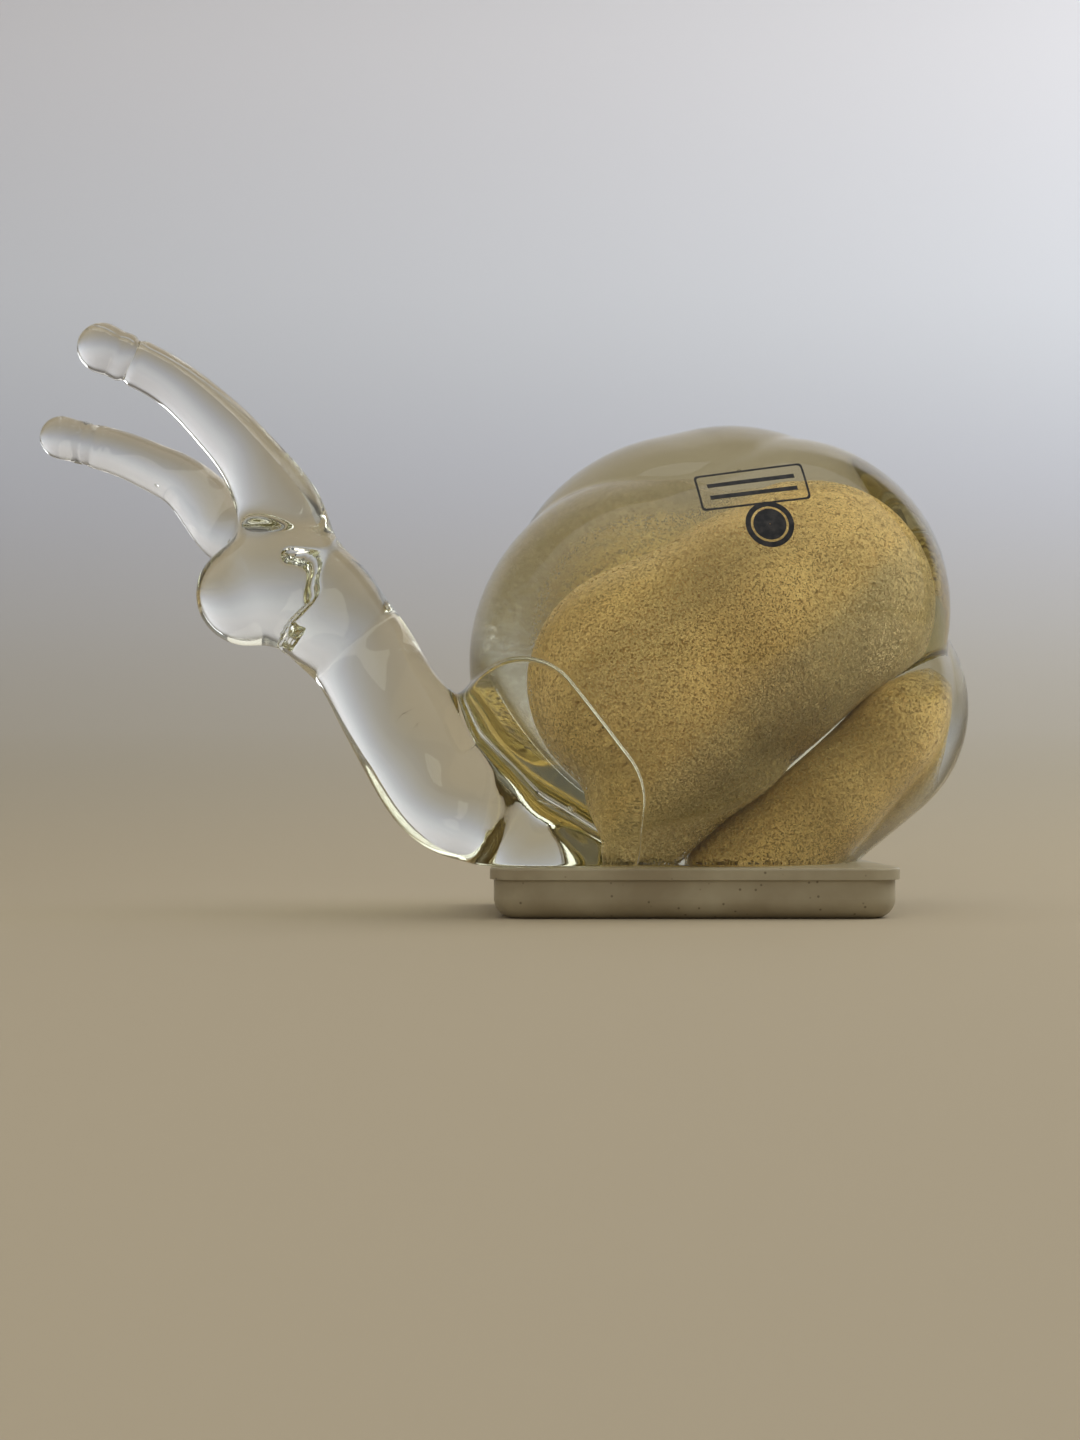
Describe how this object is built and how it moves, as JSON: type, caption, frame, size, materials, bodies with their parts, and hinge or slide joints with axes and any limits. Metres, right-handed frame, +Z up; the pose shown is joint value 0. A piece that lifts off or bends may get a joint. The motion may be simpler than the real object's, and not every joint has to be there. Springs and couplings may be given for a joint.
{
  "type": "glass snail figurine",
  "caption": "Glass snail figurine: clear neck, head and two tentacles, a thick ball-shaped coiled shell over gold cores, on a low cream stand.",
  "frame": {"origin": "middle of the stand's underside", "axes": "+Z up, +X from the head towards the tail, -Y towards the viewer of the picture"},
  "size_m": [0.2072, 0.0945, 0.1222],
  "materials": {
    "clear_glass": "clear polished art glass",
    "gold_glass": "glass full of fine gold leaf",
    "stand": "cream, satin, faintly speckled",
    "label_film": "clear film with a plain dark frame",
    "label_ink": "plain black print"
  },
  "bodies": {
    "stand": {"stand": "stand"},
    "snail": {"foot": "clear_glass", "neck": "clear_glass", "head": "clear_glass", "tentacle_near": "clear_glass", "tentacle_far": "clear_glass", "first_whorl_glass": "clear_glass", "first_whorl_gold": "gold_glass", "second_whorl_glass": "clear_glass", "second_whorl_gold": "gold_glass", "label_film": "label_film", "label_spot": "label_ink"}
  },
  "joints": [
    {"name": "lift_off", "type": "slide", "parent": "stand", "child": "snail", "axis": [0, 0, 1], "range_m": [0, 0.06]}
  ]
}
